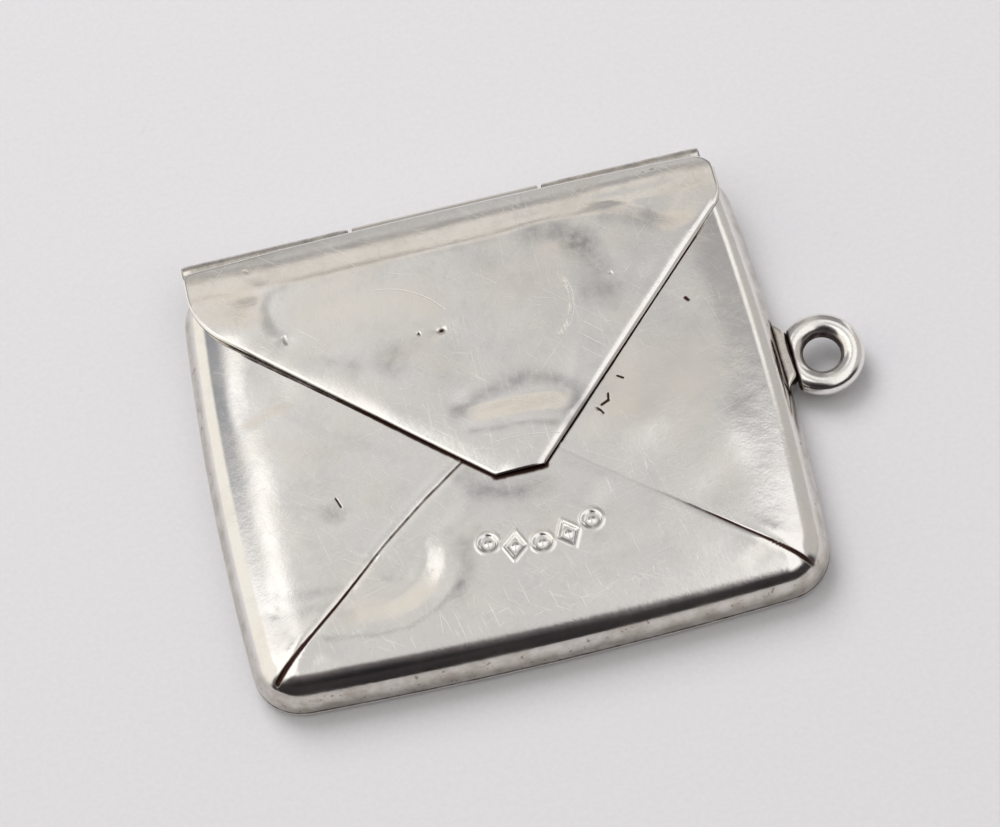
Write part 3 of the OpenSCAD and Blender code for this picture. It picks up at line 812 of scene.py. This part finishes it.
def build_ring():
    sides, around = ((120, 48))
    a, b = angles(sides)[:, None], angles(around)
    wire = WIRE_R * (1 + 0.012 * unevenness(41, 10, 0.6, 2.2)(4 * a, b))
    r = np.maximum(RING_R + wire * np.cos(b), HOLE_R)
    # Filed flat where it is soldered on its plate
    flat = PLATE_OUT - RING_X
    x, z = np.maximum(r * np.cos(a), flat), wire * np.sin(b)
    u, v = turned_to(r * np.sin(a), z, 0, 0, -RING_TILT)
    # Tarnish where it is soldered; painted shade round the hole and on the underside
    dark = np.maximum.reduce([0.8 * bell(x - flat, 0.12), 0.75 * bell(r - HOLE_R, 0.2), 0.35 * (z < -0.2)])
    return welded("suspension_ring_wire", grid_of(RING_X + x, RING_Y + u, RING_Z + v),
                  quads(sides, around, True), dark.ravel(), 60)


def build_plate():
    """Plate with worn, tapered ends that run out into solder on the side of the case."""
    count, section = 41, 24
    y = np.linspace(PLATE_Y0, PLATE_Y1, count)[:, None]
    end = np.minimum(y - PLATE_Y0, PLATE_Y1 - y)
    reach, height = 0.04 + 0.56 * smooth(end / 0.75), 0.36 + 0.14 * smooth(end / 0.35)
    a = -math.pi / 2 + math.pi * np.arange(section) / (section - 1)
    u, v = (np.copysign(np.abs(w) ** 0.55, w) for w in (np.cos(a), np.sin(a)))
    verts = grid_of(PLATE_X + 0.02 + reach * u, y, RING_Z + height * v)
    dark = 0.08 + 0.7 * bell(u, 0.25) + 0.3 * (end < 0.15)
    ends = [tuple(range(section)), tuple(reversed(range((count - 1) * section, count * section)))]
    return new_object("ring_plate_bar", verts, quads(count, section) + ends, dark.ravel(), 50)


class Nodes:
    """A node tree, emptied, with short ways to add nodes to it."""
    def __init__(self, tree):
        self.tree = tree
        tree.nodes.clear()

    def new(self, kind, inputs=(), **values):
        node = self.tree.nodes.new("ShaderNode" + kind)
        for key, value in values.items():
            setattr(node, key, value)
        for key, value in dict(inputs).items():
            if isinstance(value, bpy.types.NodeSocket):
                self.tree.links.new(value, node.inputs[key])
            else:
                node.inputs[key].default_value = value
        return node

    def math(self, op, *values, clamp=False):
        return self.new("Math", enumerate(values), operation=op, use_clamp=clamp).outputs[0]

    def times(self, *factors, clamp=False):
        """Product of factors, in which a tuple stands for a soft step."""
        first, *others = (self.step(*f) if isinstance(f, tuple) else f for f in factors)
        for other in others:
            first = self.math("MULTIPLY", first, other, clamp=clamp)
        return first

    def plus(self, a, b, clamp=False):
        return self.math("ADD", a, b, clamp=clamp)

    def most(self, a, b):
        return self.math("MAXIMUM", a, b)

    def hypot(self, a, b):
        return self.math("SQRT", self.plus(self.times(a, a), self.times(b, b)))

    def around(self, value, spread):
        """A noise value moved to swing evenly below and above zero."""
        return self.times(self.math("SUBTRACT", value, 0.5), spread)

    def step(self, *values):
        """Soft step: value, low, high, and the two results, 0 and 1 if left out."""
        return self.new("MapRange", enumerate(values), interpolation_type="SMOOTHSTEP").outputs[0]

    def mix(self, factor, a, b):
        a, b = (v + (1,) if isinstance(v, tuple) else v for v in (a, b))
        return self.new("Mix", {0: factor, 6: a, 7: b}, data_type="RGBA").outputs[2]

    def layered(self, colour, *layers):
        """Lays colours over a first one, each after the factors that bound it."""
        for *factors, tint in layers:
            colour = self.mix(self.times(*factors), colour, tint)
        return colour

    def noise(self, vector, scale, detail=3, rough=0.55):
        return self.new("TexNoise", {"Vector": vector, "Scale": scale, "Detail": detail,
                                     "Roughness": rough}).outputs[0]

    def mapped(self, vector, turn=0, scale=(1, 1, 1), move=(0, 0, 0)):
        return self.new("Mapping", {"Vector": vector, "Rotation": (0, 0, turn), "Scale": scale,
                                    "Location": move}).outputs[0]

    def coordinates(self, kind):
        return self.new("TexCoord").outputs[kind]

    def parts(self, vector):
        return self.new("SeparateXYZ", {0: vector}).outputs

    def value_of(self, attribute):
        return self.new("Attribute", attribute_name=attribute).outputs["Fac"]


def new_material(name):
    """Nodes of a new material, and a function that adds its bump and shader and returns it."""
    material = bpy.data.materials.new(name)
    material.use_nodes = True
    n = Nodes(material.node_tree)

    def finish(height, strength, inputs):
        bump = n.new("Bump", {"Strength": strength, "Distance": MM, "Height": height})
        shader = n.new("BsdfPrincipled", {"Normal": bump.outputs[0], **inputs})
        n.new("OutputMaterial", {0: shader.outputs[0]})
        return material
    return n, finish


WARM_SHADE, PALE_SCRATCH, PAINTED_WARM_REFLECTION = (1, 0.985, 0.955), (1, 0.985, 0.965), (0.97, 0.925, 0.85)
MOTTLE, GREY_OF_HAZE_AND_PAINTED_REFLECTION, TARNISH_AND_PAINTED_SHADE = (0.6, 0.6, 0.61), (0.26, 0.262, 0.275), (0.055, 0.026, 0.02)
LOW_GREY, SPECKS, DULLED = (0.42, 0.38, 0.33), (0.16, 0.1, 0.075), 0.72


def hairlines(n, vector, turn, move, length, width, cut):
    """Fine straight scratches in one direction, broken into short runs."""
    place = n.mapped(n.mapped(vector, turn), 0, (1 / length, 1 / width, 1 / length), move)
    return n.step(n.noise(place, 1, 0, 0), cut, cut + 0.05)


def silver(name, colour, rough, scratches, dull, seed, grey_top=0, arcs=()):
    """Silver with hairline scratches, patches of haze and painted reflection, tarnish in its crevices and
    painted shade where the mesh marks it dark.
    """
    n, finish = new_material(name)
    shift = (seed * 3.7, seed * 1.9, seed)
    here = n.mapped(n.coordinates("Object"), 0, (1000, 1000, 1000), shift)
    x, y, z = n.parts(here)
    dark, haze_and_painted_reflection = n.value_of("dark"), n.value_of("haze_and_painted_reflection")
    # Hairlines in several directions, gathered in patches
    layers = None
    rng = np.random.default_rng(seed)
    for _ in range(6):
        turn, move = rng.uniform(0, math.pi), tuple(rng.uniform(-50, 50, 3))
        length, width, cut = (rng.uniform(*span) for span in ((0.9, 2.2), (0.02, 0.03), (0.77, 0.81)))
        layer = n.times(hairlines(n, here, turn, move, length, width, cut),
                        (n.noise(n.mapped(here, move=move), 0.45, 2), 0.42, 0.62))
        layers = layer if layers is None else n.most(layers, layer)
    # Curved scratches: centre, radius, width, lowest and highest x and y, and whether broken
    for cx, cy, r, w, x0, x1, y0, y1, broken in arcs:
        u, v = (n.math("SUBTRACT", value, c) for value, c in ((x, cx + shift[0]), (y, cy + shift[1])))
        line = n.step(n.math("ABSOLUTE", n.math("SUBTRACT", n.hypot(u, v), r)), w, 0.5 * w)
        for value, low, high in ((u, x0 - cx, x1 - cx), (v, y0 - cy, y1 - cy)):
            line = n.times(line, (value, low, low + 0.3), (value, high, high - 0.3))
        if broken:
            line = n.times(line, (n.noise(n.mapped(here, 0.3, (7, 1.2, 1)), 1), 0.5, 0.56))
        layers = n.most(layers, n.times(line, 1.8))
    # Few, bright, long scratches
    for turn, move in ((0.35, (3, 9, 1)), (1.9, (-7, 2, 5)), (2.7, (12, -5, 8))):
        layers = n.most(layers, n.times(hairlines(n, here, turn + seed, move, 3.2, 0.035, 0.8), 1.2))
    # No scratches on slopes and in crevices
    upright = n.parts(n.coordinates("Normal"))[2]
    layers = n.times(layers, (n.math("ABSOLUTE", upright), 0.95, 0.997), (dark, 0.4, 0.05))
    veil = n.noise(here, 0.35, 4, 0.6)
    grain = n.noise(here, 9, 3, 0.6)
    cloud = n.noise(here, 1.6, 4, 0.65)
    # Tarnish in crevices and painted shade lie where the mesh marks them dark, with a ragged edge
    tarnish_and_painted_shade = n.times((n.plus(dark, n.around(cloud, 0.55)), 0.22, 0.85), (dark, 0.02, 0.12))
    # Greyer and darker low on the walls, in a ragged pattern
    low = n.step(n.plus(z, n.around(cloud, 0.5)), seed + grey_top, seed + grey_top - 0.35)
    # On the front, also greyer on steep slopes
    if grey_top:
        low = n.most(low, n.step(upright, 0.78, 0.5, 0, 0.85))
    base = n.layered(
        colour,
        ((veil, 0.4, 0.68), tuple(c * f for c, f in zip(colour, WARM_SHADE))),
        ((grain, 0.52, 0.75), dull, tuple(c * DULLED for c in colour)),
        ((n.noise(here, 0.75, 5, 0.68), 0.47, 0.66), 0.15, MOTTLE),
        (n.times(layers, 0.75, clamp=True), PALE_SCRATCH),
        # Painted warm reflection, then grey haze and painted dark reflection
        ((haze_and_painted_reflection, 0, -1), PAINTED_WARM_REFLECTION),
        ((haze_and_painted_reflection, 0, 1), (cloud, 0.3, 0.7, 0.45, 1), GREY_OF_HAZE_AND_PAINTED_REFLECTION),
        (tarnish_and_painted_shade, TARNISH_AND_PAINTED_SHADE),
        (low, (n.noise(here, 1.1, 5, 0.6), 0.3, 0.7, 0.5, 1), LOW_GREY),
        (low, (n.noise(here, 3.2, 2, 0.5), 0.64, 0.72, 0, 0.75), SPECKS))
    roughness = n.plus(rough, n.times((veil, 0.35, 0.7), 0.07))
    roughness = n.plus(roughness, n.times(layers, 0.1 * scratches))
    roughness = n.plus(roughness, n.times(tarnish_and_painted_shade, 0.3), clamp=True)
    height = n.plus(n.times(layers, -0.0024 * scratches), n.times(cloud, 0.0048))
    height = n.plus(height, n.times(grain, 0.0006 + 0.002 * dull))
    return finish(height, 1, {"Metallic": 1, "Base Color": base, "Roughness": roughness})


CAMERA_ELEVATION, CAMERA_TURN, CAMERA_ROLL = map(math.radians, (63, 2.095, 11.357))
CAMERA_DISTANCE = 152.96 * MM
CAMERA_TARGET = Vector((0.2898, 1.0595, 0.9463)) * MM
SENSOR = 36
CAMERA_LENS = 3206.6 * SENSOR / 1000


def add_camera():
    data = bpy.data.cameras.new("camera")
    data.sensor_width, data.lens = SENSOR, CAMERA_LENS
    data.clip_start, data.clip_end = 0.005, 5
    camera = place("camera", data)
    flat = math.cos(CAMERA_ELEVATION)
    back = Vector((-math.sin(CAMERA_TURN) * flat, -math.cos(CAMERA_TURN) * flat, math.sin(CAMERA_ELEVATION)))
    right = (-back).cross(Vector((0, 0, 1))).normalized()
    down = (-back).cross(right)
    c, s = math.cos(CAMERA_ROLL), math.sin(CAMERA_ROLL)
    right, down = c * right + s * down, -s * right + c * down
    turn = Matrix((right, -down, back)).transposed()
    camera.matrix_world = Matrix.Translation(CAMERA_TARGET + back * CAMERA_DISTANCE) @ turn.to_4x4()
    scene.camera = camera


def add_world():
    """A studio of soft boxes and dark gaps, as the polished edges in the photo mirror it."""
    world = bpy.data.worlds.new("studio")
    scene.world = world
    world.use_nodes = True
    n = Nodes(world.node_tree)
    x, y, _ = n.parts(n.coordinates("Generated"))

    # Ceiling that the flat faces mirror, darker towards the right
    flat = n.layered((0.73, 0.722, 0.715),
                     ((x, -0.06, 0.08), (0.52, 0.51, 0.505)), ((y, 0.49, 0.4), (0.62, 0.61, 0.6)))
    # Dark front of the room on the left of the camera
    depth = n.plus(n.plus(y, 0.53), n.times(n.most(x, -0.08), 1.6))
    shade = n.layered((0.016, 0.014, 0.016), ((depth, -0.34, 0), (0.11, 0.095, 0.098)))
    colour = n.layered(
        (0.53, 0.52, 0.515),
        # Room: a dim back wall, a pale band along its top, a dark rail above that, then the ceiling
        ((x, 0, -0.07), (0.34, 0.335, 0.33)),
        ((y, 0.745, 0.715), (0.62, 0.6, 0.58)),
        ((y, 0.705, 0.68), (0.35, 0.335, 0.325)),
        ((y, 0.645, 0.6), (0.76, 0.72, 0.66)),
        ((y, 0.55, 0.52), flat),
        # Bright windows to the left and right
        ((x, -0.11, -0.165), (y, 0.53, 0.46), (1.2, 1.18, 1.15)),
        ((x, 0.04, 0.19), (y, 0.435, 0.395), (1.04, 1.02, 1.01)),
        # Blue-grey gap and cream wall on the left
        ((x, -0.2, -0.42), (y, 0.38, 0.47), (0.3, 0.31, 0.33)),
        ((x, -0.6, -0.7), (0.93, 0.9, 0.83)),
        # The right side greys beyond its window, with one bright strip in it
        ((x, 0.12, 0.2), (y, 0.41, 0.44), (0.42, 0.405, 0.4)),
        ((x, 0.12, 0.26), (y, 0.49, 0.56), (0.27, 0.26, 0.26)),
        ((x, 0.56, 0.68), (0.5, 0.48, 0.46)),
        ((x, 0.6, 0.67), (x, 0.79, 0.72), (y, 0.4, 0.45), (1, 0.98, 0.94)),
        # Dark front of the room, darkest at the horizon
        ((depth, 0.12, -0.04), shade),
        ((n.hypot(x, y), 0.8, 0.9), (y, -0.25, -0.5), (0.035, 0.03, 0.032)))
    back = n.new("Background", {"Color": colour, "Strength": 1})
    n.new("OutputWorld", {0: back.outputs[0]})


def add_lamp():
    """Soft lamp behind the case, which lays its shadow towards the front."""
    data = bpy.data.lights.new("window", "AREA")
    data.shape, data.size, data.energy, data.color = "DISK", 0.42, 2.3, (1, 0.99, 1)
    lamp = place("window", data)
    lamp.location = (-0.13, 0.38, 0.46)
    lamp.rotation_euler = (-Vector(lamp.location)).to_track_quat("-Z", "Y").to_euler()
    lamp.visible_glossy = False


def add_floor():
    bpy.ops.mesh.primitive_plane_add(size=1.6, location=(0, 0, 0))
    floor = bpy.context.object
    floor.name = "floor"
    n, finish = new_material("pale_paper")
    here = n.mapped(n.coordinates("Object"), 0, (1000, 1000, 1000))
    base = n.layered((0.69, 0.685, 0.705), ((n.noise(here, 4, 4, 0.7), 0.3, 0.7), (0.72, 0.715, 0.735)),
                     ((n.noise(here, 0.9, 2), 0.72, 0.78), 0.12, (0.5, 0.49, 0.5)))
    height = n.times(n.noise(here, 2.5, 4, 0.7), 0.03)
    floor.data.materials.append(
        finish(height, 0.4, {"Base Color": base, "Roughness": 0.9, "Specular IOR Level": 0.2}))


add_camera()
add_world()
add_lamp()
add_floor()

POLISHED, AGED = (0.93, 0.91, 0.89), (0.8, 0.765, 0.715)
FLAP_ARCS = [(-4.6, 3.9, 4.06, 0.03, -4.6, -1.0, 5.9, 9, False), (2.2, 5.3, 2.62, 0.13, 3.4, 6, 3.2, 6.8, True),
             (2.2, 5.3, 2.78, 0.025, 3.4, 6, 3.6, 6.3, False), (0.4, -9.6, 8.2, 0.02, -1, 3.2, -2, 0, False)]
# Each silver, paired with a slot name
front_silver = "polished_silver", silver("silver_front", POLISHED, 0.11, 0.6, 0.25, 1, 1.85)
flap_silver = "polished_silver", silver("silver_flap", POLISHED, 0.12, 1.05, 0.25, 2, 0.0, FLAP_ARCS)
back_silver = "polished_silver", silver("silver_back", POLISHED, 0.14, 1.3, 0.35, 3)
ring_silver = "polished_silver", silver("silver_ring", POLISHED, 0.15, 0.5, 0.6, 4)
aged_silver = "aged_silver", silver("silver_aged", AGED, 0.18, 0.6, 0.6, 5)
# Inner ends of the outer knuckles
INNER_END = MIDDLE_HALF + KNUCKLE_GAP

PIECES = [
    (build_front_shell(), "front_shell", "case", front_silver),
    (build_back_plate(), "back_plate", "case", back_silver),
    (build_knuckle("left_knuckle_tube", BARREL_L, -INNER_END), "left_knuckle", "case", aged_silver),
    (build_knuckle("right_knuckle_tube", INNER_END, BARREL_R), "right_knuckle", "case", aged_silver),
    (build_pin(), "hinge_pin", "case", aged_silver),
    (build_plate(), "ring_plate", "case", aged_silver),
    (build_ring(), "suspension_ring", "case", ring_silver),
    (build_flap(), "lid_flap", "lid", flap_silver),
    (build_middle(), "lid_knuckle", "lid", aged_silver),
]
for piece, node, body, (slot, material) in PIECES:
    piece.data.materials.append(material)
    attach(piece, body)
    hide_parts(node)

scene.view_settings.view_transform = "Standard"
